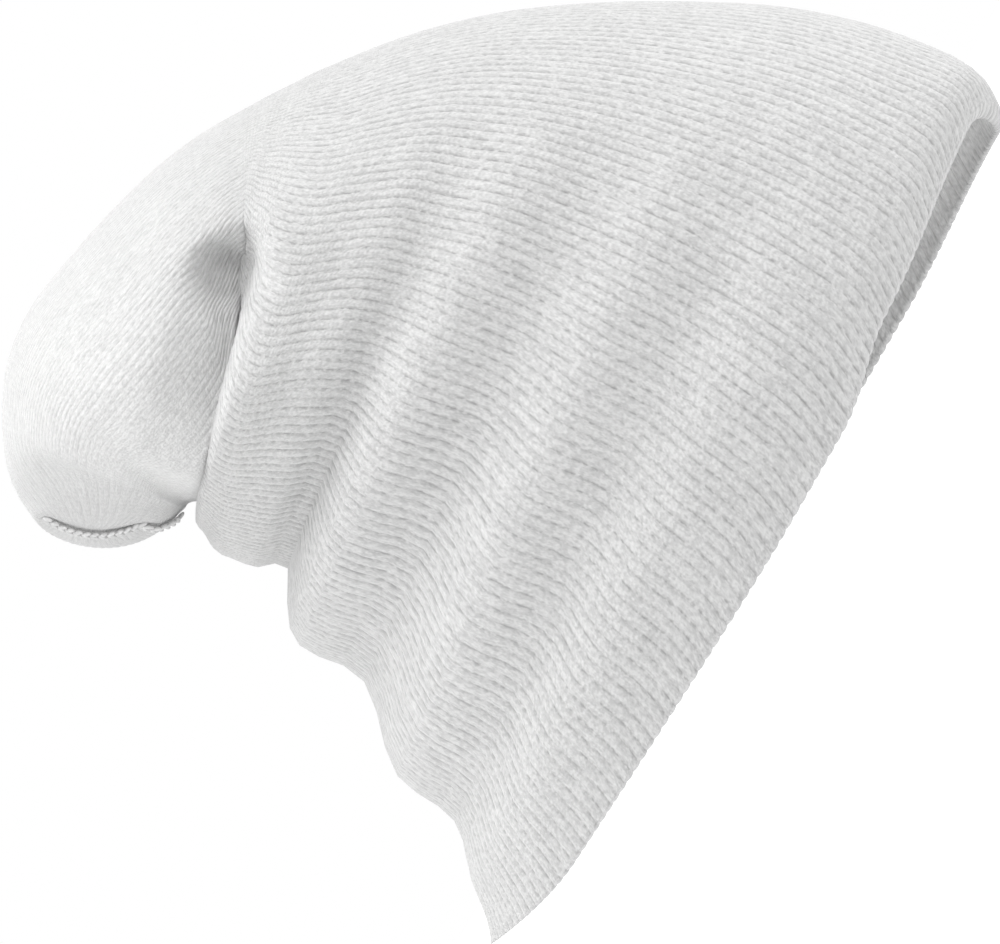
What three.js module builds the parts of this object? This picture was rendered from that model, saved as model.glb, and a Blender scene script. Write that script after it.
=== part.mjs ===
// A long, slouchy knit hat of fine rib, standing on its rim. It is one tube of knit in two layers, turned
// in at the rim and sewn shut at the tip. The slouch leans back, and its tip folds over in one deep tuck.
// Millimetres. +X is the front of the hat, +Z is up, and the rim stands on z = 0.
import * as THREE from 'three';
import { mergeVertices } from 'three/addons/utils/BufferGeometryUtils.js';

// The wall: two layers of rib knit, pressed together from the tuck to the tip.
const WALL = 4.2;
const PRESSED_WALL = 2.8;
const PRESSED = { from: 140, to: 152 };
const RIM_EDGE = { inset: 1, height: 1.6 };       // rounding of the turned rim
// The inner layer: it rounds the corners of the tuck, and closes on a line of its own before the tip.
const ROUNDED = { passes: 5, from: 166, to: 183, skipped: [152, 160, 188] };
const INNER_END = { sections_short: 4, drawn_in: 0.3, x: -1, z: -0.5 };

const PLACES_ROUND = 60;                          // points round each section
const SAMPLES = 240;                              // places from which a side's even points are taken
const NEAR = 4;                                   // step along the knit that gives its outward direction
const SAME_POINT = 1e-3;

// The rim: its edge lifts at the nape and arches over the brow, more so on the -Y side.
const RIM_SOFT = 35;                              // length of knit over which a lifted rim settles
const NAPE = { lift: 12.5, from: -58, over: 50 };
const BROW = { lift: 2.5, from: 60, to: 106 };
const ARCH = { lift: 4.5, from: 26, to: 54, more: 5, more_from: 50, more_to: 106 };
const ARCH_SIDE = { from: -6, to: 30 };           // how far round to the -Y side the arch comes in
// The closed tip curves back across the hat with this radius, in this direction.
const TIP = { radius: 36, from: 265, to: 302, x: 0.952, z: 0.307 };
// The line of thread that closes the tip, as shares of the closing line and its own size and gap.
const SEAM = { from: 0.04, to: 0.96, taper: 0.12, width: 2.4, height: 1.3, gap: 0.35 };
const SEAM_STATIONS = 16;
const SEAM_CORNERS = 8;
const FADE = { fold: 1.3, tuck: 1.6 };            // how soon these fade in from a section's ends

// One row per section of the tube, from the rim to the closed tip. length is measured along the knit, and
// steps says how many rings lead on to the next row. front and back are the ends of the section in the
// middle plane, bow bends it towards the rim, and half_width is its reach to each side. The rolls say over
// what distance its two ends round off, and middle_y moves it.
const SECTIONS = table(
  [
    'length', 'steps', 'front_x', 'front_z', 'back_x', 'back_z',
    'bow', 'half_width', 'front_roll', 'back_roll', 'middle_y',
  ],
  [
    [0, 1, 103.5, 0, -108.5, 0, 0, 77, 104, 106, 0],
    [10, 1, 108.6, 10, -105, 8, 0, 79.5, 104, 104, 0],
    [28, 1, 108.4, 30, -98.5, 20, 0, 81.5, 100, 98, 0],
    [45, 2, 104.2, 47.4, -90, 31, 0, 82.5, 93, 92, 0],
    [60, 2, 98.8, 61.1, -86.4, 46.3, 0, 82.5, 86, 86, 0],
    [75, 2, 91.4, 75.2, -76.4, 61.9, 0, 82, 79, 79, 0],
    [90, 2, 84.3, 87.5, -72.8, 78, 0, 81, 72, 71, 0],
    [105, 2, 75.9, 100.3, -67.3, 87.6, 0, 79.5, 66, 64, 0],
    [120, 2, 66.8, 112.1, -63.2, 97, 0.5, 77.5, 60, 56, 0],
    [135, 2, 55.5, 123.7, -63.8, 104.5, 1.5, 75, 55, 48, 0],
    [148, 2, 45.3, 132.2, -61.7, 109, 2, 72.5, 51, 40, 0],
    [156, 1, 40, 136.2, -60, 110.9, 1.6, 71.5, 49, 34, 0],
    [160, 1, 37.4, 138.2, -57, 112, 1.4, 71, 48, 31, 0],
    [164, 1, 34.5, 140.1, -49.5, 113.9, 1.2, 70.5, 47, 26, 0],
    [168, 1, 31.7, 141.9, -40, 116.3, 1, 70, 47, 20, 0],
    [172, 1, 29.1, 143.7, -27, 120.6, 0.8, 70, 46, 11, 0],
    [176, 1, 26.4, 145.4, -13, 125.6, 0.4, 70, 46, 7, 0],
    [180, 1, 23.6, 147.1, -6.5, 128.3, 0, 70, 45, 6, 0],
    [184, 1, 20.6, 148.9, -13, 127.2, 0, 70, 45, 6, 0],
    [188, 1, 17.5, 150.8, -20, 124.6, 0, 70, 44, 7, 0],
    [192, 1, 14.1, 152.7, -25, 122.8, 0, 70, 44, 5, 0],
    [196, 2, 10.6, 154.4, -29, 121.4, 0, 69.5, 43, 4, 0],
    [204, 2, 2.4, 157.8, -35, 118.8, 0, 69, 41, 3.5, 0],
    [214, 2, -10.2, 161.5, -41, 117, 0, 67.5, 38, 3.5, 0],
    [226, 2, -24, 164.4, -47, 115.4, 0, 65, 34, 4, 0],
    [240, 1, -37.6, 166.4, -53.5, 114.2, 0, 60, 30, 7, 0],
    [256, 1, -52.3, 164.4, -57.5, 115.2, 0, 51, 25, 19, -1],
    [270, 1, -65.3, 157.7, -59.2, 115.5, -1, 40, 20, 19, -3],
    [284, 1, -73.8, 150.1, -61.1, 115.9, -3, 27, 16, 16, -7],
    [294, 1, -77.4, 144.2, -64.2, 116.4, -4, 16, 12.5, 12.5, -10],
    [302, 1, -79.0, 140.7, -67.6, 118.1, -3.6, 8, 10, 9, -12.5],
    [307, 0, -77.9, 139.3, -69.0, 121.3, -3, 0, 8, 8, -14.6],
  ]);

// One row per soft fold across the slouch: where its valley lies along the knit, how far it spreads each
// way, how deep it is at the back, how far round from the front (0) to the back (1) it begins, and how much
// more depth it has beside the head. The last row is a swell, over the tuck.
const FOLDS = table(
  ['valley', 'spread', 'depth', 'begins', 'beside'],
  [
    [6, 18, 0, 0.15, 1.3],
    [44, 17, 1.6, 0.15, 2.4],
    [76, 16, 4, 0.1, 1.6],
    [108, 14, 5, 0.12, 1.3],
    [108, 7, 3, 0.6, 0],
    [150, 24, 0, 0, -3.2],
  ]);
const BESIDE = { from: 0.12, full: 0.4, falls: 0.65 };     // shares of the way round for that extra depth

// The deep tuck where the tip folds over. The knit turns in at the lip, runs hidden between the two sheets,
// and comes out up the flap. The crease runs from the pit, the tuck's open upper end, down to the nape.
const TUCK = { depth: 14, lip: 151, in: 164, hidden: 176, out: 186 };
const CREASE = { x: -5, z: 129.3, run_x: -0.953, run_z: -0.304 };
const PIT = { reach: 12, squeeze: 1.15, radius: 7, more: 5 };
const RIDGE_END = { from: 256, to: 290 };         // lengths over which the ridge fades out to the tip

// One row per distance from the crease: how far in from the hat's side the flap lies, up to a soft ridge.
const FLAP = table(
  ['away', 'in'],
  [
    [0, 9],
    [4, 6.6],
    [8, 3.6],
    [12, 0.6],
    [15, -0.8],
    [20, -1],
    [28, -0.5],
    [38, 0],
  ]);

function table(names, lines) {
  return lines.map((line) => Object.fromEntries(names.map((name, i) => [name, line[i]])));
}

function rise(value, low, high) {
  return THREE.MathUtils.smoothstep(value, low, high);
}

// A smooth value of one column of a table at a place along another, its key.
function column(rows, key, name, at) {
  const last = rows.length - 1;
  let row = 0;
  while (row < last - 1 && at > rows[row + 1][key]) row += 1;
  const slope = (i) => {
    const before = rows[Math.max(i - 1, 0)];
    const here = rows[i];
    const after = rows[Math.min(i + 1, last)];
    if (i === 0) return (after[name] - here[name]) / (after[key] - here[key]);
    if (i === last) return (here[name] - before[name]) / (here[key] - before[key]);
    const back = here[key] - before[key];
    const ahead = after[key] - here[key];
    const slopeBack = (here[name] - before[name]) / back;
    const slopeAhead = (after[name] - here[name]) / ahead;
    return (slopeBack * ahead + slopeAhead * back) / (back + ahead);
  };
  const a = rows[row];
  const b = rows[row + 1];
  const span = b[key] - a[key];
  const t = (at - a[key]) / span;
  const t2 = t * t;
  const t3 = t2 * t;
  return (2 * t3 - 3 * t2 + 1) * a[name] + (t3 - 2 * t2 + t) * span * slope(row)
    + (3 * t2 - 2 * t3) * b[name] + (t3 - t2) * span * slope(row + 1);
}

function foldDepth(length, across) {
  const beside = rise(across, BESIDE.from, BESIDE.full) * (1 - rise(across, BESIDE.falls, 1));
  let depth = 0;
  for (const fold of FOLDS) {
    const off = Math.min(Math.abs(length - fold.valley) / fold.spread, 1);
    const deepest = fold.depth * rise(across, fold.begins, 1) + fold.beside * beside;
    depth += deepest * (0.5 + 0.5 * Math.cos(Math.PI * off));
  }
  return depth;
}

function tuckDepth(length, x, z) {
  const down = (x - CREASE.x) * CREASE.run_x + (z - CREASE.z) * CREASE.run_z;
  const above = (x - CREASE.x) * CREASE.run_z - (z - CREASE.z) * CREASE.run_x;
  const beyond = Math.max(-down, 0);
  const away = Math.min(Math.hypot(Math.max(above, 0), beyond * PIT.squeeze), FLAP[FLAP.length - 1].away);
  const turned = TUCK.depth * rise(length, TUCK.lip, TUCK.in) * (1 - rise(beyond, 0, PIT.reach));
  const bowl = PIT.more * (1 - rise(Math.hypot(down, above), 0, PIT.radius));
  const flap = column(FLAP, 'away', 'in', away) * (1 - rise(length, RIDGE_END.from, RIDGE_END.to)) + bowl;
  return THREE.MathUtils.lerp(turned, flap, rise(length, TUCK.hidden, TUCK.out));
}

// How far the rim is off the floor: it curls up at the nape, and arches over the brow on the -Y side.
function rimLift(x, y) {
  const nape = Math.min(Math.max((NAPE.from - x) / NAPE.over, 0), 1);
  const brow = BROW.lift * rise(x, BROW.from, BROW.to);
  const arch = ARCH.lift * rise(x, ARCH.from, ARCH.to) + ARCH.more * rise(x, ARCH.more_from, ARCH.more_to);
  const near = rise(-y, ARCH_SIDE.from, ARCH_SIDE.to);
  return NAPE.lift * nape * nape + brow + (arch - brow) * near;
}

// A quarter of an ellipse: 0 at the end of a section, and 1 past the roll.
function rollOff(distance, roll) {
  const left = 1 - Math.min(Math.max(distance / roll, 0), 1);
  return Math.sqrt(1 - left * left);
}

// The point of one section at an angle round it, 0 at the front and half a turn at the back, on a side.
function sectionPoint(row, angle, side) {
  const across = (1 - Math.cos(angle)) / 2;
  const chord = new THREE.Vector2(row.back_x - row.front_x, row.back_z - row.front_z);
  const size = chord.length();
  chord.divideScalar(size);
  const bow = row.bow * 4 * across * (1 - across);
  let x = row.front_x + chord.x * size * across - chord.y * bow;
  let z = row.front_z + chord.y * size * across + chord.x * bow;
  const full = rollOff(size * across, row.front_roll) * rollOff(size * (1 - across), row.back_roll);
  const fold = foldDepth(row.length, across);
  const endwise = Math.cos(angle) * fold;
  x += chord.x * endwise;
  z += chord.y * endwise;
  const reach = row.half_width * full - fold * Math.min(1, FADE.fold * full);
  const tuck = tuckDepth(row.length, x, z) * Math.min(1, FADE.tuck * full);
  const y = row.middle_y + side * Math.max(reach - tuck, 0);
  const settle = Math.max(1 - row.length / RIM_SOFT, 0) ** 2;
  const round = rise(row.length, TIP.from, TIP.to) * y * y / (2 * TIP.radius);
  return new THREE.Vector3(x + round * TIP.x, y, z + rimLift(x, y) * settle + round * TIP.z);
}

// One section as evenly spaced points: down the -Y side from front to back, then up the +Y side.
function section(length) {
  const row = { length };
  for (const name of Object.keys(SECTIONS[0])) {
    if (name !== 'length') row[name] = column(SECTIONS, 'length', name, length);
  }
  const half = PLACES_ROUND / 2;
  const sides = [-1, 1].map((side) => {
    const fine = [];
    for (let i = 0; i <= SAMPLES; i += 1) fine.push(sectionPoint(row, Math.PI * i / SAMPLES, side));
    const run = [0];
    for (let i = 1; i <= SAMPLES; i += 1) run.push(run[i - 1] + fine[i].distanceTo(fine[i - 1]));
    const points = [];
    let at = 0;
    for (let i = 0; i <= half; i += 1) {
      const want = run[SAMPLES] * i / half;
      while (at < SAMPLES - 1 && run[at + 1] < want) at += 1;
      const t = (want - run[at]) / Math.max(run[at + 1] - run[at], 1e-9);
      points.push(fine[at].clone().lerp(fine[at + 1], t));
    }
    return points;
  });
  return [...sides[0], ...sides[1].reverse().slice(1, half)];
}

function outerLengths() {
  const lengths = [];
  for (let i = 0; i < SECTIONS.length - 1; i += 1) {
    const { length, steps } = SECTIONS[i];
    for (let k = 0; k < steps; k += 1) lengths.push(length + (SECTIONS[i + 1].length - length) * k / steps);
  }
  lengths.push(SECTIONS[SECTIONS.length - 1].length);
  return lengths;
}

// The outward direction of the outer layer at each point of one section.
function outwardOf(length) {
  const end = SECTIONS[SECTIONS.length - 1].length;
  const ring = section(length);
  const before = section(Math.max(length - NEAR, 0));
  const after = section(Math.min(length + NEAR, end));
  const level = 1 - rise(length, 0, RIM_SOFT);
  return ring.map((point, j) => {
    const round = ring[(j + 1) % ring.length].clone().sub(ring[(j + ring.length - 1) % ring.length]);
    const flat = new THREE.Vector3(-round.y, round.x, 0).normalize();
    return after[j].clone().sub(before[j]).cross(round).normalize().lerp(flat, level).normalize();
  });
}

function wallAt(length) {
  return THREE.MathUtils.lerp(WALL, PRESSED_WALL, rise(length, PRESSED.from, PRESSED.to));
}

// The same ring with its corners eased, each point drawn towards its two neighbours.
function eased(ring) {
  const count = ring.length;
  return ring.map((point, j) => {
    const beside = ring[(j + 1) % count].clone().add(ring[(j + count - 1) % count]).multiplyScalar(0.5);
    return point.clone().lerp(beside, 0.5);
  });
}

// The line halfway between the two sides of the inner layer's last ring, drawn in towards its middle.
function innerEnd(ring) {
  const count = ring.length;
  const middle = ring.reduce((sum, point) => sum.add(point), new THREE.Vector3()).divideScalar(count);
  const push = new THREE.Vector3(INNER_END.x, 0, INNER_END.z);
  return ring.map((point, j) => {
    const other = ring[(count - j) % count];
    return point.clone().add(other).multiplyScalar(0.5).lerp(middle, INNER_END.drawn_in).add(push);
  });
}

// One closed skin through rings of points. A first or last ring that is a line or a point closes that end.
function skinThrough(rings) {
  const places = [];
  const count = rings[0].length;
  for (const ring of rings) for (const point of ring) places.push(point.x, point.y, point.z);
  const faces = [];
  for (let i = 0; i < rings.length - 1; i += 1) {
    for (let j = 0; j < count; j += 1) {
      const k = (j + 1) % count;
      const a = i * count + j;
      const b = i * count + k;
      const c = (i + 1) * count + k;
      const d = (i + 1) * count + j;
      faces.push(a, c, b, a, d, c);
    }
  }
  const geometry = new THREE.BufferGeometry();
  geometry.setAttribute('position', new THREE.Float32BufferAttribute(places, 3));
  geometry.setIndex(faces);
  return withoutSlivers(mergeVertices(geometry, SAME_POINT));
}

function withoutSlivers(geometry) {
  const index = geometry.index.array;
  const kept = [];
  for (let i = 0; i < index.length; i += 3) {
    const [a, b, c] = [index[i], index[i + 1], index[i + 2]];
    if (a !== b && b !== c && a !== c) kept.push(a, b, c);
  }
  geometry.setIndex(kept);
  return geometry;
}

// The rim edge at one inset from the outer layer, raised by a height.
function rimRing(ring, outward, inset, height) {
  return ring.map((point, j) => {
    const moved = point.clone().addScaledVector(outward[j], -inset);
    moved.z += height;
    return moved;
  });
}

// The whole tube in one skin: up the inner layer's inside, round the rim and up the outer layer to the tip.
function knitBody() {
  const lengths = outerLengths();
  const outer = lengths.map(section);
  const innerLengths = lengths
    .slice(0, -INNER_END.sections_short)
    .filter((length) => !ROUNDED.skipped.includes(length));
  const inner = innerLengths.map((length) => {
    const outward = outwardOf(length);
    return section(length).map((point, j) => point.addScaledVector(outward[j], -wallAt(length)));
  });
  for (let pass = 0; pass < ROUNDED.passes; pass += 1) {
    innerLengths.forEach((length, i) => {
      if (length > ROUNDED.from && length < ROUNDED.to) inner[i] = eased(inner[i]);
    });
  }
  const edge = outer[0];
  const outward = outwardOf(0);
  outer[0] = rimRing(edge, outward, 0, RIM_EDGE.height);
  inner[0] = rimRing(edge, outward, WALL, RIM_EDGE.height);
  const under = [WALL - RIM_EDGE.inset, RIM_EDGE.inset].map((inset) => rimRing(edge, outward, inset, 0));
  return skinThrough([innerEnd(inner[inner.length - 1]), ...inner.reverse(), ...under, ...outer]);
}

// The thread lies over the closing line, an oval in section that tapers to a point at each end.
function crownSeam() {
  const half = PLACES_ROUND / 2;
  const line = section(SECTIONS[SECTIONS.length - 1].length).slice(0, half + 1);
  const beside = section(SECTIONS[SECTIONS.length - 2].length);
  const along = line[half].clone().sub(line[0]).normalize();
  const acrossSides = new THREE.Vector3();
  for (let j = 1; j < half; j += 1) acrossSides.add(beside[j]).sub(beside[PLACES_ROUND - j]);
  const out = along.clone().cross(acrossSides).normalize();
  const across = along.clone().cross(out);
  const rings = [];
  for (let i = 0; i <= SEAM_STATIONS; i += 1) {
    const share = i / SEAM_STATIONS;
    const at = (SEAM.from + (SEAM.to - SEAM.from) * share) * half;
    const from = Math.min(Math.floor(at), half - 1);
    const centre = line[from].clone().lerp(line[from + 1], at - from);
    const thick = rollOff(Math.min(share, 1 - share), SEAM.taper);
    centre.addScaledVector(out, SEAM.gap + SEAM.height / 2);
    const ring = [];
    for (let k = 0; k < SEAM_CORNERS; k += 1) {
      const turn = 2 * Math.PI * k / SEAM_CORNERS;
      const corner = centre.clone().addScaledVector(across, Math.cos(turn) * thick * SEAM.width / 2);
      ring.push(corner.addScaledVector(out, Math.sin(turn) * thick * SEAM.height / 2));
    }
    rings.push(ring);
  }
  return skinThrough(rings);
}

const knit = new THREE.MeshStandardMaterial({ color: 0xe9e9e7, roughness: 0.95, metalness: 0 });
const thread = new THREE.MeshStandardMaterial({ color: 0xe4e4e1, roughness: 0.9, metalness: 0 });

const body = new THREE.Mesh(knitBody(), knit);
body.name = 'knit_body';
const seam = new THREE.Mesh(crownSeam(), thread);
seam.name = 'crown_seam';

const group = new THREE.Group();
group.add(body, seam);

export default group;
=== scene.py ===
import math

import bmesh
import bpy
import numpy as np
from mathutils import Matrix, Vector


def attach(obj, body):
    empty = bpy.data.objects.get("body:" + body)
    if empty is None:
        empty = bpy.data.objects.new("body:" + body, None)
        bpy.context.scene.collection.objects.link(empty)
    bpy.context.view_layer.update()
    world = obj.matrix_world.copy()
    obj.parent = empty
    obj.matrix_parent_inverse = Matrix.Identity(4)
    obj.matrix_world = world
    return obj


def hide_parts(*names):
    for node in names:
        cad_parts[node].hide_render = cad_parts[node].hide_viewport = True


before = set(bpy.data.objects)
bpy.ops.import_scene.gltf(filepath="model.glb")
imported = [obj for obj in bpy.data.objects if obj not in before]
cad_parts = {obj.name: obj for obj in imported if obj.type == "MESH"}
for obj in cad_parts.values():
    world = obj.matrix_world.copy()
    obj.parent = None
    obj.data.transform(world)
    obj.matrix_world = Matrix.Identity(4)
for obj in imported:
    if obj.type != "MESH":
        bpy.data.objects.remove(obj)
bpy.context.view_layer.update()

# Outer layer of knit
# The hat is one long tube of fine rib, knitted round from soft heathered yarn, with half of it pushed up
# inside the other half, so that the fold makes the rim. The outer half slouches back in soft folds to its
# sewn end.
TUBE_END = 307

# One row per section of the tube, from the rim to the closed tip. Lengths are in millimetres.
COLUMNS = "length front_x front_z back_x back_z bow half_width front_roll back_roll middle_y".split()
SECTIONS = dict(zip(COLUMNS, np.array([
    [0, 103.5, 0, -108.5, 0, 0, 77, 104, 106, 0],
    [10, 108.6, 10, -105, 8, 0, 79.5, 104, 104, 0],
    [28, 108.4, 30, -98.5, 20, 0, 81.5, 100, 98, 0],
    [45, 104.2, 47.4, -90, 31, 0, 82.5, 93, 92, 0],
    [60, 98.8, 61.1, -86.4, 46.3, 0, 82.5, 86, 86, 0],
    [75, 91.4, 75.2, -76.4, 61.9, 0, 82, 79, 79, 0],
    [90, 84.3, 87.5, -72.8, 78, 0, 81, 72, 71, 0],
    [105, 75.9, 100.3, -67.3, 87.6, 0, 79.5, 66, 64, 0],
    [120, 66.8, 112.1, -63.2, 97, 0.5, 77.5, 60, 56, 0],
    [135, 55.5, 123.7, -63.8, 104.5, 1.5, 75, 55, 48, 0],
    [148, 45.3, 132.2, -61.7, 109, 2, 72.5, 51, 40, 0],
    [156, 40, 136.2, -60, 110.9, 1.6, 71.5, 49, 34, 0],
    [160, 37.4, 138.2, -57, 112, 1.4, 71, 48, 31, 0],
    [164, 34.5, 140.1, -49.5, 113.9, 1.2, 70.5, 47, 26, 0],
    [168, 31.7, 141.9, -40, 116.3, 1, 70, 47, 20, 0],
    [172, 29.1, 143.7, -27, 120.6, 0.8, 70, 46, 11, 0],
    [176, 26.4, 145.4, -13, 125.6, 0.4, 70, 46, 7, 0],
    [180, 23.6, 147.1, -6.5, 128.3, 0, 70, 45, 6, 0],
    [184, 20.6, 148.9, -13, 127.2, 0, 70, 45, 6, 0],
    [188, 17.5, 150.8, -20, 124.6, 0, 70, 44, 7, 0],
    [192, 14.1, 152.7, -25, 122.8, 0, 70, 44, 5, 0],
    [196, 10.6, 154.4, -29, 121.4, 0, 69.5, 43, 4, 0],
    [204, 2.4, 157.8, -35, 118.8, 0, 69, 41, 3.5, 0],
    [214, -10.2, 161.5, -41, 117, 0, 67.5, 38, 3.5, 0],
    [226, -24, 164.4, -47, 115.4, 0, 65, 34, 4, 0],
    [240, -37.6, 166.4, -53.5, 114.2, 0, 60, 30, 7, 0],
    [256, -52.3, 164.4, -57.5, 115.2, 0, 51, 25, 19, -1],
    [270, -65.3, 157.7, -59.2, 115.5, -1, 40, 20, 19, -3],
    [284, -73.8, 150.1, -61.1, 115.9, -3, 27, 16, 16, -7],
    [294, -77.4, 144.2, -64.2, 116.4, -4, 16, 12.5, 12.5, -10],
    [302, -79, 140.7, -67.6, 118.1, -3.6, 8, 10, 9, -12.5],
    [307, -77.9, 139.3, -69, 121.3, -3, 0, 8, 8, -14.6],
], float).T))

# The two sheets of the tuck press together: the lower one lies flat and higher, and the upper one lower.
LOWER_SHEET = (SECTIONS["length"] > 150) & (SECTIONS["length"] < 178)
UPPER_SHEET = (SECTIONS["length"] > 182) & (SECTIONS["length"] < 245)
LOWER_SHEET_RISE = 1.2
UPPER_SHEET_DROP = 3
SECTIONS["bow"][LOWER_SHEET] = 0
SECTIONS["back_z"][LOWER_SHEET] += LOWER_SHEET_RISE
SECTIONS["back_z"][UPPER_SHEET] -= UPPER_SHEET_DROP

# One row per soft fold: its valley's length along the knit, its spread, its depth at the back, where round
# it begins to deepen to that, and how much more it has at the sides. The last one is the swell of the lip
# under the tuck.
FOLDS = [
    (6, 18, 0, 0.15, 1.3),
    (44, 17, 1.6, 0.15, 3),
    (76, 16, 4, 0.1, 2.6),
    (108, 14, 5, 0.12, 2.2),
    (108, 7, 3, 0.6, 0),
    (150, 24, 0, 0, -3.2),
]

# What the folds have more at the sides grows, and then fades, over these shares of the way to the back.
SIDE_GROWS = (0.12, 0.4)
SIDE_FADES = (0.65, 1)


def smooth(value, low, high):
    """0 below low, 1 above high, and an easy curve between them."""
    t = np.clip((value - low) / (high - low), 0, 1)
    return t * t * (3 - 2 * t)


def curve(x, y, at):
    """A smooth value at places along a curve through the points x, y."""
    gap = np.diff(x)
    climb = np.diff(y) / gap
    slope = np.concatenate([
        climb[:1],
        (climb[:-1] * gap[1:] + climb[1:] * gap[:-1]) / (gap[:-1] + gap[1:]),
        climb[-1:],
    ])
    i = np.clip(np.searchsorted(x, at, side="right") - 1, 0, len(gap) - 1)
    t = (at - x[i]) / gap[i]
    return (
        (2 * t**3 - 3 * t**2 + 1) * y[i] + (t**3 - 2 * t**2 + t) * gap[i] * slope[i]
        + (3 * t**2 - 2 * t**3) * y[i + 1] + (t**3 - t**2) * gap[i] * slope[i + 1]
    )


def fold_depth(length, across):
    """How far the soft folds draw the knit in. They deepen from the front to the back."""
    depth = np.zeros(np.broadcast(length, across).shape)
    beside = smooth(across, *SIDE_GROWS) * (1 - smooth(across, *SIDE_FADES))
    for valley, spread, deep, begins, side in FOLDS:
        off = np.clip(np.abs(length - valley) / spread, 0, 1)
        depth += (0.5 + 0.5 * np.cos(np.pi * off)) * (deep * smooth(across, begins, 1) + side * beside)
    return depth


# The crease of the tuck starts here, as x and z, and runs down to the back this way. The tuck is shut from
# this far along it.
CREASE_START = (-5, 129.3)
CREASE_WAY = (0.953, 0.304)
CREASE_SHUT = 2.5

# How far in from the hat's side the flap of the tuck lies, by the distance from its crease. Ahead of the
# crease the same distance counts for more.
FLAP = {
    "away": np.array([0, 3, 6, 9, 11.5, 13.5, 16, 22, 30, 38.0]),
    "in": np.array([7.4, 5.7, 4, 2.3, 0.8, -0.2, -0.9, -1.1, -0.5, 0]),
}
AHEAD_COUNTS = 1.6

# How far the lip turns in behind the flap, and how far ahead of the crease it still does.
LIP_TURN = 14
LIP_AHEAD = 12

# Two round hollows at the crease's front end make the pit, one in the flap and one in the lip. Each has its
# depth, its middle along and above the crease, and the two radii that it fades between.
FLAP_HOLLOW = (6.5, 4.5, 3, 3, 10)
LIP_HOLLOW = (3.5, 5, -2, 2, 8)

# The lengths along the knit over which the lip turns in, its hollow comes and goes, the lip becomes the
# flap, and the flap ends.
LIP_TURNS = (151, 164)
LIP_HOLLOW_COMES = (138, 148)
LIP_HOLLOW_GOES = (158, 166)
LIP_TO_FLAP = (176, 186)
FLAP_ENDS = (256, 290)


def hollow(along, above, depth, middle_along, middle_above, inner, outer):
    """How far a round hollow beside the crease draws the knit in."""
    return depth * (1 - smooth(np.hypot(along - middle_along, above - middle_above), inner, outer))


def tuck_depth(length, x, z):
    """How far the deep tuck draws the sides in. Its flap rises from the crease under the lip to a ridge."""
    run, fall = CREASE_WAY
    forward = x - CREASE_START[0]
    up = z - CREASE_START[1]
    along = -run * forward - fall * up
    above = -fall * forward + run * up
    ahead = np.maximum(CREASE_SHUT - along, 0)
    away = np.minimum(np.hypot(np.maximum(above, 0), ahead * AHEAD_COUNTS), FLAP["away"][-1])
    lip = LIP_TURN * smooth(length, *LIP_TURNS) * (1 - smooth(ahead, 0, LIP_AHEAD))
    flap = curve(FLAP["away"], FLAP["in"], away) * (1 - smooth(length, *FLAP_ENDS))
    flap = flap + hollow(along, above, *FLAP_HOLLOW)
    notch = hollow(along, above, *LIP_HOLLOW)
    lip = lip + notch * smooth(length, *LIP_HOLLOW_COMES) * (1 - smooth(length, *LIP_HOLLOW_GOES))
    return lip + (flap - lip) * smooth(length, *LIP_TO_FLAP)


# The rim curls up to the nape, gently all the way and then more. Each has its height, where it begins and
# ends towards the back, and how late it rises.
NAPE_CURLS = [(4.9, 0, 108, 1.3), (5, 84, 108, 1.8)]

# The rim rises over the brow, and on the near side, -Y, it arches over it in two steps. Each has its
# height, and where it begins and ends towards the front.
FAR_BROW = (2.5, 60, 106)
NEAR_ARCH = [(4.5, 26, 54), (5, 50, 106)]
NEAR_SIDE = (-6, 30)


def rim_lift(x, y):
    """The rim curls up at the nape, and arches over the brow on the -Y side."""
    nape = sum(
        height * np.clip((-x - begins) / (ends - begins), 0, 1)**late
        for height, begins, ends, late in NAPE_CURLS
    )
    brow = FAR_BROW[0] * smooth(x, *FAR_BROW[1:])
    arch = sum(height * smooth(x, begins, ends) for height, begins, ends in NEAR_ARCH)
    return nape + brow + (arch - brow) * smooth(-y, *NEAR_SIDE)


def roll_off(distance, roll):
    """A quarter of an ellipse: 0 at the end of a section, and 1 past the roll."""
    return np.sqrt(1 - (1 - np.clip(distance / roll, 0, 1))**2)


# What shapes the rim fades over this length. The near side's brow edge lies further forward.
RIM_SOFT = 35
BROW_FORWARD = 4.5
BROW_EDGE = (84, 104)

# The sides of the tip bend forward round this radius, over these lengths along the knit.
TIP_BENDS = (265, 302)
TIP_BEND_RADIUS = 36
TIP_BEND_WAY = (0.952, 0.307)

# The soft folds and the tuck reach their depth a little before a section reaches its full width.
FOLD_REACH = 1.3
TUCK_REACH = 1.6


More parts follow.
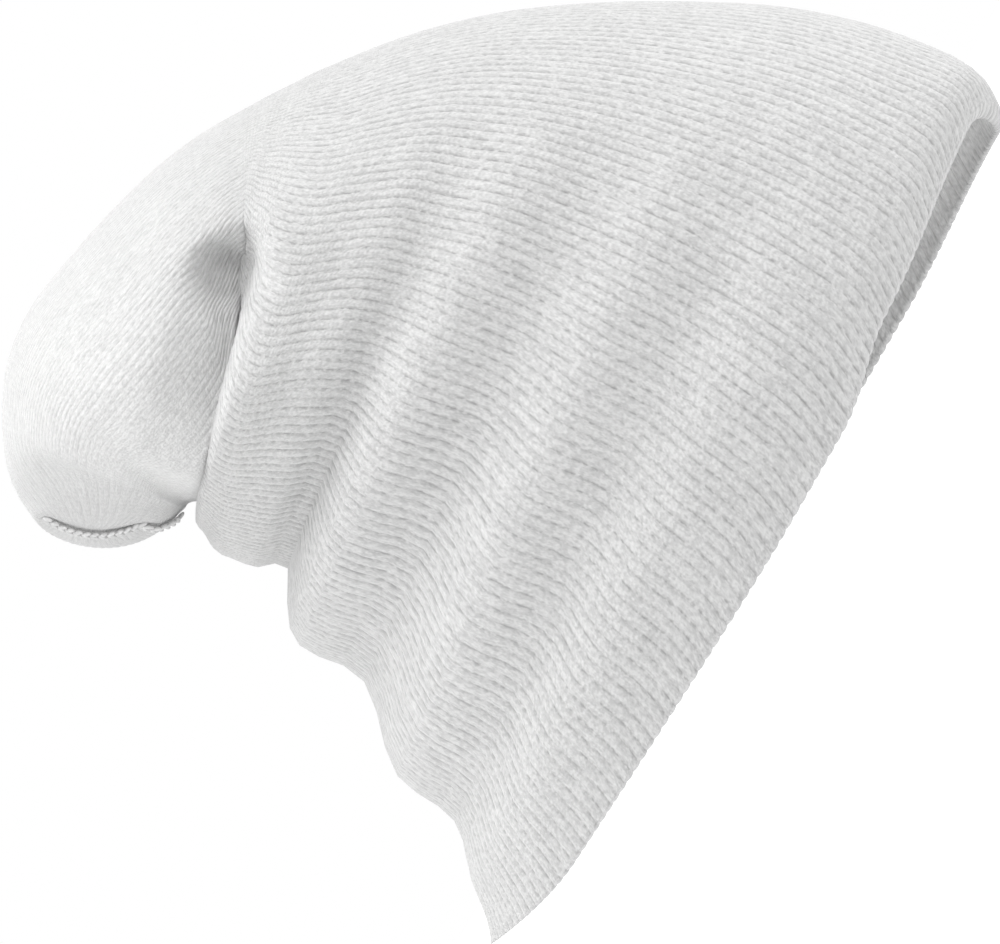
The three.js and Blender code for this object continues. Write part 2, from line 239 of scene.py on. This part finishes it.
def side_lines(lengths, side, folded=1):
    """One side of the outer layer at lengths along the knit, each as close points from the front back.

    With folded=0 the soft folds are left out.
    """
    row = {name: curve(SECTIONS["length"], SECTIONS[name], lengths)[:, None] for name in COLUMNS[1:]}
    length = lengths[:, None]
    angle = np.linspace(0, np.pi, 361)
    across = (1 - np.cos(angle)) / 2
    chord_x, chord_z = row["back_x"] - row["front_x"], row["back_z"] - row["front_z"]
    size = np.hypot(chord_x, chord_z)
    chord_x, chord_z = chord_x / size, chord_z / size
    bow = row["bow"] * 4 * across * (1 - across)
    full = roll_off(size * across, row["front_roll"]) * roll_off(size * (1 - across), row["back_roll"])
    fold = fold_depth(length, across) * folded
    gone = size * across + np.cos(angle) * fold
    x = row["front_x"] + chord_x * gone - chord_z * bow
    z = row["front_z"] + chord_z * gone + chord_x * bow
    reach = row["half_width"] * full - fold * np.minimum(1, FOLD_REACH * full)
    reach = np.maximum(reach - tuck_depth(length, x, z) * np.minimum(1, TUCK_REACH * full), 0)
    y = row["middle_y"] + side * reach
    bend = smooth(length, *TIP_BENDS) * y**2 / (2 * TIP_BEND_RADIUS)
    settle = np.clip(1 - length / RIM_SOFT, 0, 1)**2
    forward = BROW_FORWARD * smooth(x, *BROW_EDGE) * smooth(-y, *NEAR_SIDE) * settle
    raised = z + rim_lift(x, y) * settle
    return np.stack([x + forward + bend * TIP_BEND_WAY[0], y, raised + bend * TIP_BEND_WAY[1]], axis=2)


def run_along(lines):
    """How far along its line each point is."""
    steps = np.linalg.norm(np.diff(lines, axis=1), axis=2)
    return np.concatenate([np.zeros((len(lines), 1)), np.cumsum(steps, axis=1)], axis=1)


# The knit is as wide all along, so its ribs are spaced for the mean girth near by. What a section has too
# little or too much for that goes into the hidden back of the tuck.
MEAN_OVER = 15
MEAN_BEGINS = (95, 125)
MEAN_ENDS = (230, 262)
girth_at = np.arange(93, 271, 3.0)
half_girth = run_along(side_lines(girth_at, -1, folded=0))[:, -1]
nearness = np.exp(-((girth_at[:, None] - girth_at) / MEAN_OVER)**2)
even_girth = nearness @ half_girth / nearness.sum(axis=1)


def tube(lengths, shares):
    """Points of the outer layer at lengths along the knit and shares of the way round from the front.

    The ribs are spaced as on the smooth form, so that they run straight over the soft folds.
    """
    points = np.empty((len(lengths), len(shares), 3))
    even = smooth(lengths, *MEAN_BEGINS) * (1 - smooth(lengths, *MEAN_ENDS))
    for side in (-1, 1):
        lines = side_lines(lengths, side)
        ours = shares <= 0.5 if side < 0 else shares > 0.5
        wanted = 2 * shares[ours] if side < 0 else 2 - 2 * shares[ours]
        for i, run in enumerate(run_along(side_lines(lengths, side, folded=0))):
            spare = (np.interp(lengths[i], girth_at, even_girth) - run[-1]) * even[i]
            at = wanted * run[-1] + spare * wanted * (1 - wanted**2)
            for k in range(3):
                points[i, ours, k] = np.interp(at, run, lines[i, :, k])
    return points


def of_length_one(directions):
    """The directions with a length of 1 each."""
    return directions / np.maximum(np.linalg.norm(directions, axis=2, keepdims=True), 1e-9)


# The slope of the knit is taken over this length on either side.
SLOPE_OVER = 3


def outward(lengths, shares):
    """The outward direction of the outer layer. Near the rim it turns level."""
    step = 1 / len(shares)
    further = np.minimum(lengths + SLOPE_OVER, TUBE_END)
    nearer = np.maximum(lengths - SLOPE_OVER, 0)
    along = tube(further, shares) - tube(nearer, shares)
    round_it = tube(lengths, (shares + step) % 1) - tube(lengths, (shares - step) % 1)
    out = of_length_one(np.cross(along, round_it))
    level = of_length_one(np.stack([-round_it[..., 1], round_it[..., 0], 0 * round_it[..., 0]], axis=2))
    near = (1 - smooth(lengths, 0, RIM_SOFT))[:, None, None]
    return of_length_one(out + (level - out) * near)


# The ribs are the wales of the knit. They run from the rim to the tip, and are decreased twice near the
# tip. Relief is their height at lengths along the knit. They stand high near the rim, and are stretched
# nearly flat over the tip. PLACES is how many points each rib has across.
RIBS = 192
PLACES = 6
RELIEF = np.array([[0, 0.34], [110, 0.36], [150, 0.26], [185, 0.15], [215, 0.12], [250, 0.08], [307, 0.12]])
FIRST_DECREASE = (255, 280)
LAST_DECREASE = (284, 300)
RIB_FULLNESS = 0.8

# The rows of the sheet, close together at the rim and round the tuck.
rim_lengths = np.array([0, 0.12, 0.5, 1.1, 1.8, 2.7, 4.2, 6.5, 9])
outer_lengths = np.concatenate([
    rim_lengths, np.arange(13, 137, 5.2), np.arange(138, 204, 2.8), np.arange(206, 300, 4.8),
    [300, 303.5, TUBE_END],
])
inner_lengths = np.concatenate([rim_lengths, np.arange(14, 268, 6)])
shares = np.linspace(0, 1, RIBS * PLACES + 1)
ring_shares = np.append(shares[:-1], 0.0)

# The wall of two layers is thinner where the tuck presses it, and round where it folds at the rim.
WALL = 4.2
PRESSED_WALL = 2.8
PRESSED_FROM = (140, 152)
RIM_ROUND = 1.6

# The inner layer doesn't follow the tuck's crease sharply, but is eased this far round it.
CREASE_LENGTH = 176
EASED_OVER = 16
EASED_TIMES = 24
EASED_PLACES = 4

# The sewn end of the inner layer is drawn together and lies a little behind its last row.
END_DRAWN_IN = 0.3
END_MOVED = np.array([-1, 0, -0.5])
END_LENGTH = 4


def rim_rounding(lengths):
    """How far each face of the wall turns to its middle, where the knit folds at the rim."""
    return WALL / 2 * (1 - roll_off(lengths, RIM_ROUND))[:, None, None]


def knit_surface():
    """The whole sheet of knit: down the inside from the slouch to the rim, and up outside to the tip."""
    wall = WALL + (PRESSED_WALL - WALL) * smooth(inner_lengths, *PRESSED_FROM)[:, None, None]
    inward = outward(inner_lengths, ring_shares) * (wall - rim_rounding(inner_lengths))
    inside = tube(inner_lengths, ring_shares) - inward
    eased = np.clip(1 - np.abs(inner_lengths - CREASE_LENGTH) / EASED_OVER, 0, 1)[:, None, None]
    for _ in range(EASED_TIMES):
        ring = inside[:, :-1]
        beside = (np.roll(ring, EASED_PLACES, axis=1) + np.roll(ring, -EASED_PLACES, axis=1)) / 2
        beside = np.concatenate([beside, beside[:, :1]], axis=1)
        inside = inside + (beside - inside) * eased * 0.5
    end = (inside[-1] + inside[-1, ::-1]) / 2
    end = end + (end.mean(axis=0) - end) * END_DRAWN_IN + END_MOVED
    inward = outward(outer_lengths, ring_shares) * rim_rounding(outer_lengths)
    outside = tube(outer_lengths, ring_shares) - inward
    return np.concatenate([end[None], inside[::-1], outside[1:]])


def rib_height(turns):
    """The height of the ribs, 0 in the valleys and 1 on the crests, from the number of ribs gone by."""
    return np.abs(np.sin(np.pi * turns))**RIB_FULLNESS


# The ribs only dent the knit at the rim's edge. Past it, this share of their height stands proud. They
# fade out from RIBS_END to the closed tip.
RIB_PROUD = 0.45
RIM_EDGE = 7
RIBS_END = 300


def ribbed(surface, lengths):
    """The sheet with its ribs raised."""
    along = np.gradient(surface, axis=0)
    ring = surface[:, :-1]
    round_it = np.roll(ring, -PLACES // 2, axis=1) - np.roll(ring, PLACES // 2, axis=1)
    out = of_length_one(np.cross(along[:, :-1], round_it))
    out = np.concatenate([out, out[:, :1]], axis=1)
    length = lengths[:, None]
    first = smooth(length, *FIRST_DECREASE)
    last = smooth(length, *LAST_DECREASE)
    turns = shares * RIBS
    height = (1 - first) * rib_height(turns) + first * rib_height(turns / 2)
    height = (1 - last) * height + last * rib_height(turns / 4)
    lift = height - 1 + RIB_PROUD * smooth(length, 0, RIM_EDGE)
    fade = 1 - smooth(length, RIBS_END, TUBE_END)
    relief = np.interp(length, *RELIEF.T)
    return surface + out * (relief * lift * fade)[:, :, None]


# The outer piece takes the fold at the rim and a few rows inside it.
ROWS_TURNED_IN = 7
inside_rows = len(inner_lengths)
sheet_lengths = np.concatenate([
    [inner_lengths[-1] + END_LENGTH], inner_lengths[::-1], outer_lengths[1:],
])
sheet_levels = np.concatenate([-sheet_lengths[: inside_rows + 1], sheet_lengths[inside_rows + 1:]])
sheet_points = ribbed(knit_surface(), sheet_lengths)
turn_in = inside_rows - ROWS_TURNED_IN

# A millimetre, in metres.
MM = 0.001


def knit_piece(name, first, last):
    """The rows of the sheet from first to last, as one mesh that closes along the front."""
    rows = last - first
    shape = bmesh.new()
    bmesh.ops.create_grid(shape, x_segments=RIBS * PLACES, y_segments=rows, size=1)
    mesh = bpy.data.meshes.new(name)
    shape.to_mesh(mesh)
    flat = np.empty(len(mesh.vertices) * 3)
    mesh.vertices.foreach_get("co", flat)
    flat = flat.reshape(-1, 3)
    place = np.rint((1 - flat[:, 0]) / 2 * RIBS * PLACES).astype(int)
    row = first + np.rint((flat[:, 1] + 1) / 2 * rows).astype(int)
    mesh.vertices.foreach_set("co", (sheet_points[row, place] * MM).ravel())
    corner = np.empty(len(mesh.loops), int)
    mesh.loops.foreach_get("vertex_index", corner)
    on_knit = np.stack([shares[place], 0.5 + sheet_levels[row] / (2 * TUBE_END)], axis=1)
    mesh.uv_layers.new(name="knit").data.foreach_set("uv", on_knit[corner].ravel())
    shape.clear()
    shape.from_mesh(mesh)
    edge = [v for v in shape.verts if v.is_boundary]
    bmesh.ops.remove_doubles(shape, verts=edge, dist=1e-6)
    shape.to_mesh(mesh)
    shape.free()
    mesh.shade_smooth()
    piece = bpy.data.objects.new(name, mesh)
    bpy.context.collection.objects.link(piece)
    return piece


class Number:
    """A number socket. Python's operators on it add Math nodes."""

    def __init__(self, paint, socket):
        self.paint, self.socket = paint, socket

    def math(self, operation, *others):
        inputs = dict(enumerate([self, *others]))
        return self.paint.number("ShaderNodeMath", {"operation": operation}, inputs)

    def __add__(self, other):
        return self.math("ADD", other)

    def __mul__(self, other):
        return self.math("MULTIPLY", other)

    def __sub__(self, other):
        return self.math("SUBTRACT", other)

    def __truediv__(self, other):
        return self.math("DIVIDE", other)

    def __pow__(self, other):
        return self.math("POWER", other)

    def __abs__(self):
        return self.math("ABSOLUTE")

    def __rsub__(self, other):
        return self.paint.number("ShaderNodeMath", {"operation": "SUBTRACT"}, {0: other, 1: self})

    __radd__ = __add__
    __rmul__ = __mul__


class Paint:
    """A material with a Principled shader, and a way to add the nodes that feed it."""

    def __init__(self, name, **constants):
        self.material = bpy.data.materials.new(name)
        self.material.use_nodes = True
        self.tree = self.material.node_tree
        self.shader = self.tree.nodes["Principled BSDF"]
        for socket, value in constants.items():
            self.shader.inputs[socket.replace("_", " ")].default_value = value

    def node(self, kind, settings=None, inputs=None):
        made = self.tree.nodes.new(kind)
        for key, value in (settings or {}).items():
            setattr(made, key, value)
        for key, value in (inputs or {}).items():
            if isinstance(value, Number):
                value = value.socket
            if isinstance(value, bpy.types.NodeSocket):
                self.tree.links.new(value, made.inputs[key])
            else:
                made.inputs[key].default_value = value
        return made

    def number(self, kind, settings=None, inputs=None):
        return Number(self, self.node(kind, settings, inputs).outputs[0])

    def eased(self, value, low, high):
        inputs = {"Value": value, "From Min": low, "From Max": high}
        return self.number("ShaderNodeMapRange", {"interpolation_type": "SMOOTHSTEP"}, inputs)

    def feed(self, socket, value):
        if isinstance(value, Number):
            value = value.socket
        self.tree.links.new(value, self.shader.inputs[socket])


def noise(paint, domain, stretch, detail=2.0, roughness=0.5):
    """Soft noise over a domain in millimetres that is stretched by three factors first."""
    at = paint.node("ShaderNodeVectorMath", {"operation": "MULTIPLY"}, {0: domain, 1: stretch}).outputs[0]
    inputs = {"Vector": at, "Scale": 1.0, "Detail": detail, "Roughness": roughness}
    return paint.number("ShaderNodeTexNoise", {}, inputs)


PALE_YARN = (0.69, 0.69, 0.687, 1)
DARK_YARN = (0.49, 0.49, 0.49, 1)

# The flecks, specks and patches of the yarn: how fine each is in three directions, the noise from which it
# is dark to that from which it is pale, and its share of the colour.
FLECK = ((1.3, 1.3, 0.6), 0.38, 0.62, 0.52)
SPECK = ((2.6, 2.6, 1.3), 0.3, 0.7, 0.36)
PATCH = ((0.16, 0.16, 0.1), 0.38, 0.62, 0.12)


def heathered(paint, domain):
    """The yarn's colour: pale, with grey flecks that run along the ribs, finer specks and soft patches."""
    fleck, speck, patch = [
        paint.eased(noise(paint, domain, fineness), dark_from, pale_from) * share
        for fineness, dark_from, pale_from, share in (FLECK, SPECK, PATCH)
    ]
    colours = {0: fleck + speck + patch, 6: DARK_YARN, 7: PALE_YARN}
    return paint.node("ShaderNodeMix", {"data_type": "RGBA"}, colours).outputs[2]


def shaded(paint, colour, share):
    """The colour times a share that varies."""
    grey = paint.node("ShaderNodeCombineColor", {}, {0: share, 1: share, 2: share}).outputs[0]
    inputs = {0: 1.0, 6: colour, 7: grey}
    return paint.node("ShaderNodeMix", {"data_type": "RGBA", "blend_type": "MULTIPLY"}, inputs).outputs[2]


# The knit's pattern follows the sheet, as if it were rolled into a straight tube of this radius.
PATTERN_RADIUS = 94
knit = Paint("heathered_rib_knit", Sheen_Weight=0.6, Sheen_Roughness=0.5, Specular_IOR_Level=0.15)
knit_map = knit.node("ShaderNodeUVMap", {"uv_map": "knit"}).outputs[0]
on_knit = knit.node("ShaderNodeSeparateXYZ", {}, {0: knit_map})
share_round = Number(knit, on_knit.outputs[0])
length_along = (Number(knit, on_knit.outputs[1]) - 0.5) * (2 * TUBE_END)
turn = share_round * (2 * math.pi)
domain = knit.node("ShaderNodeCombineXYZ", {}, {
    0: turn.math("COSINE") * PATTERN_RADIUS,
    1: turn.math("SINE") * PATTERN_RADIUS,
    2: length_along,
}).outputs[0]
from_rim = abs(length_along)
first_fewer = knit.eased(from_rim, *FIRST_DECREASE)
last_fewer = knit.eased(from_rim, *LAST_DECREASE)


def ribs_at(per_turn):
    """The ribs' height and each place's distance from its rib's middle, in half ribs."""
    turns = share_round * per_turn
    height = abs((turns * math.pi).math("SINE"))**RIB_FULLNESS
    off_middle = abs(turns.math("FRACT") - 0.5) * 2
    return height, off_middle


all_ribs, all_off = ribs_at(RIBS)
half_ribs, half_off = ribs_at(RIBS // 2)
few_ribs, few_off = ribs_at(RIBS // 4)
height = all_ribs + (half_ribs - all_ribs) * first_fewer
height = height + (few_ribs - height) * last_fewer
off_middle = all_off + (half_off - all_off) * first_fewer
off_middle = off_middle + (few_off - off_middle) * last_fewer

# Each rib is a column of V-shaped stitches, each as high as a course. The ribs, the stitches and the fibres
# have these shares of the bump.
COURSE = 1.45
STITCH_SLANT = 0.42
RIB_BUMP = 0.3
STITCH_BUMP = 0.28
FIBRE_BUMP = 0.6
stitch =((from_rim / COURSE + off_middle * STITCH_SLANT) * (2 * math.pi)).math("COSINE") * 0.5 + 0.5
fibre = noise(knit, domain, (3.0, 3.0, 1.8), 3.0, 0.6)
yarn_height = height * RIB_BUMP + stitch * height * STITCH_BUMP + fibre * FIBRE_BUMP

# Painted shade darkens the rib valleys here and there, and hardly where the knit is stretched over the tip,
# which is painted a little paler as painted light. The inner half is painted paler too, as painted light,
# so that the strip of it that shows inside the rim looks light.
OUTSIDE_TONE = 0.87
# Painted light: the stretched tip is painted this much paler.
TIP_PAINTED_LIGHT = 0.1
# Painted light: the inner half is painted this much paler, though it is the same yarn.
INSIDE_PAINTED_LIGHT = 0.4
VALLEY_PAINTED_SHADE = 0.32
VALLEY_SHADE_LOST_STRETCHED = 0.28
STRETCHED_OVER = (140.0, 250.0)
stretched = knit.eased(from_rim, *STRETCHED_OVER)
inner_side = knit.eased(length_along, 0.0, -6.0)
# Noise that breaks the painted shade in the rib valleys into short dashes.
valley_shade_noise = knit.eased(noise(knit, domain, (1.1, 1.1, 0.6)), 0.38, 0.62)
# The painted shade in the rib valleys, less where the knit is stretched over the tip.
valley = (1 - height)**1.5 * valley_shade_noise * (VALLEY_PAINTED_SHADE - stretched * VALLEY_SHADE_LOST_STRETCHED)
# Painted light on the stretched tip and on the inner half.
painted_light = stretched * TIP_PAINTED_LIGHT * (1 - inner_side) + inner_side * INSIDE_PAINTED_LIGHT
knit.feed("Base Color", shaded(knit, heathered(knit, domain), OUTSIDE_TONE + painted_light - valley))
knit.feed("Roughness", 0.98 - height * 0.08)
bump = knit.node("ShaderNodeBump", {}, {"Strength": 0.7, "Distance": 0.0005, "Height": yarn_height})
knit.feed("Normal", bump.outputs[0])

outer = knit_piece("knit_outer", turn_in, len(sheet_points) - 1)
outer.data.materials.append(knit.material)
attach(outer, "root")
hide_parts("knit_body")

# Inner layer of knit
# The other half of the same tube, pushed up inside. It lies against the outer layer from the fold at the
# rim to the slouch, where it hangs a little short of the tip and is sewn shut too.
inner = knit_piece("knit_inner", 0, turn_in)
inner.data.materials.append(knit.material)
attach(inner, "root")

# Crown seam
# The tube's end is closed flat with one row of yarn, drawn through both edges. It shows as a short line of
# slanted stitches, two legs to a stitch, along the lower side of the tip.
STITCHES = 19
FIRST_STITCH = 0.02
LAST_STITCH = 0.98

# Half a leg's length, width and height, its slant, and how far its middle stands proud and to the side.
LEG_SIZE = (1.35, 0.55, 0.5)
LEG_SLANT = math.radians(38)
LEG_PROUD = 1.05
LEG_ASIDE = 0.68

# The line runs down the closed end from the front, and on over its back edge to these lengths of the knit.
PAST_END = np.array([302.0, 294.0, 286.0])
half = RIBS * PLACES // 2
closed_end = tube(np.array([TUBE_END - 0.01]), shares)[0]
past_end = tube(PAST_END, shares)
line = np.concatenate([closed_end[: half + 1: 4 * PLACES], past_end[:, half]])
run = run_along(line[None])[0]
places = np.linspace(FIRST_STITCH, LAST_STITCH, STITCHES) * run[-1]
centres = np.stack([np.interp(places, run, line[:, k]) for k in range(3)], axis=1)
ways = np.gradient(centres, axis=0)
across_seam = (past_end[0, 1:half] - past_end[0, -2:half:-1]).sum(axis=0)

seam = bmesh.new()
for centre, way in zip(centres, ways):
    way = Vector(way).normalized()
    away = way.cross(Vector(across_seam)).normalized()
    for leg in (-1, 1):
        slant = Matrix.Rotation(leg * LEG_SLANT, 3, away) @ way
        turn_to = Matrix((slant, away.cross(slant), away)).transposed().to_4x4()
        at = Vector(centre) + away * LEG_PROUD + away.cross(way) * leg * LEG_ASIDE
        ball = bmesh.ops.create_uvsphere(seam, u_segments=10, v_segments=7, radius=1)["verts"]
        bmesh.ops.scale(seam, vec=LEG_SIZE, verts=ball)
        bmesh.ops.transform(seam, matrix=Matrix.Translation(at) @ turn_to, verts=ball)
bmesh.ops.scale(seam, vec=(MM, MM, MM), verts=seam.verts)
seam_mesh = bpy.data.meshes.new("crown_seam_stitches")
seam.to_mesh(seam_mesh)
seam.free()
seam_mesh.shade_smooth()
stitches = bpy.data.objects.new("crown_seam_stitches", seam_mesh)
bpy.context.collection.objects.link(stitches)

yarn = Paint("heathered_yarn", Sheen_Weight=0.25, Sheen_Roughness=0.5, Specular_IOR_Level=0.2)
here = yarn.node("ShaderNodeTexCoord").outputs["Object"]
in_mm = yarn.node("ShaderNodeVectorMath", {"operation": "SCALE"}, {0: here, "Scale": 1 / MM}).outputs[0]
fluff = noise(yarn, in_mm, (3.0, 3.0, 3.0), 3.0)
yarn.feed("Base Color", shaded(yarn, heathered(yarn, in_mm), fluff * 0.1 + 0.93))
yarn.feed("Roughness", fluff * 0.1 + 0.88)
fluffy = yarn.node("ShaderNodeBump", {}, {"Strength": 0.6, "Distance": 0.0003, "Height": fluff})
yarn.feed("Normal", fluffy.outputs[0])
stitches.data.materials.append(yarn.material)
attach(stitches, "root")
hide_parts("crown_seam")

# Floor
# A plain white light table, one flat sheet of matt plastic that the rim stands on. It glows softly, so that
# no hard shadow shows.
FLOOR_REACH = 6
floor_shape = bmesh.new()
bmesh.ops.create_grid(floor_shape, x_segments=1, y_segments=1, size=FLOOR_REACH)
floor_mesh = bpy.data.meshes.new("floor")
floor_shape.to_mesh(floor_mesh)
floor_shape.free()
floor = bpy.data.objects.new("floor", floor_mesh)
bpy.context.collection.objects.link(floor)
light_table = Paint("white_light_table", Roughness=0.9, Emission_Strength=1.1, Specular_IOR_Level=0.0)
light_table.shader.inputs["Base Color"].default_value = (0.1, 0.1, 0.1, 1)
light_table.shader.inputs["Emission Color"].default_value = (1, 1, 1, 1)
floor.data.materials.append(light_table.material)

# Light
# An even white studio, with one broad lamp high over the hat and a weaker one low behind its slouch. Each
# lamp has its strength, and the way from the hat to it.
world = bpy.data.worlds.new("studio")
bpy.context.scene.world = world
world.use_nodes = True
studio_white = world.node_tree.nodes["Background"].inputs
studio_white["Color"].default_value = (1, 1, 1, 1)
studio_white["Strength"].default_value = 1.0
LAMP_BREADTH = math.radians(50)
LAMPS = {
    "high_lamp": (2.1, (0.31, -0.32, 0.9)),
    "low_lamp": (0.95, (-0.93, -0.22, 0.28)),
}
for name, (strength, toward) in LAMPS.items():
    sun = bpy.data.lights.new(name, "SUN")
    sun.energy = strength
    sun.angle = LAMP_BREADTH
    lamp = bpy.data.objects.new(name, sun)
    bpy.context.collection.objects.link(lamp)
    lamp.rotation_euler = Vector(toward).to_track_quat("Z", "Y").to_euler()

# Camera
# It stands level with the hat's lower part, at its left side, rolled so that the brow points up and to the
# right. MIDDLE is what it looks at, and PICTURE_UP is the way on the hat that is up in the picture.
DISTANCE = 3.0
MIDDLE = Vector((-0.018, 0, 0.05995))
STAND = Vector((-0.018, -DISTANCE, 0.025))
PICTURE_UP = Vector((0.866, 0, 0.5))
SENSOR_WIDTH = 36
PICTURE_WIDTH = 1000
METRES_A_PIXEL = 0.218e-3
back = (STAND - MIDDLE).normalized()
right = PICTURE_UP.cross(back).normalized()
up = back.cross(right)
lens = bpy.data.cameras.new("camera")
lens.sensor_width = SENSOR_WIDTH
lens.lens = SENSOR_WIDTH * DISTANCE / (PICTURE_WIDTH * METRES_A_PIXEL)
lens.clip_end = 50
camera = bpy.data.objects.new("camera", lens)
bpy.context.collection.objects.link(camera)
camera.matrix_world = Matrix.Translation(STAND) @ Matrix((right, up, back)).transposed().to_4x4()
bpy.context.scene.camera = camera
bpy.context.scene.view_settings.view_transform = "Standard"
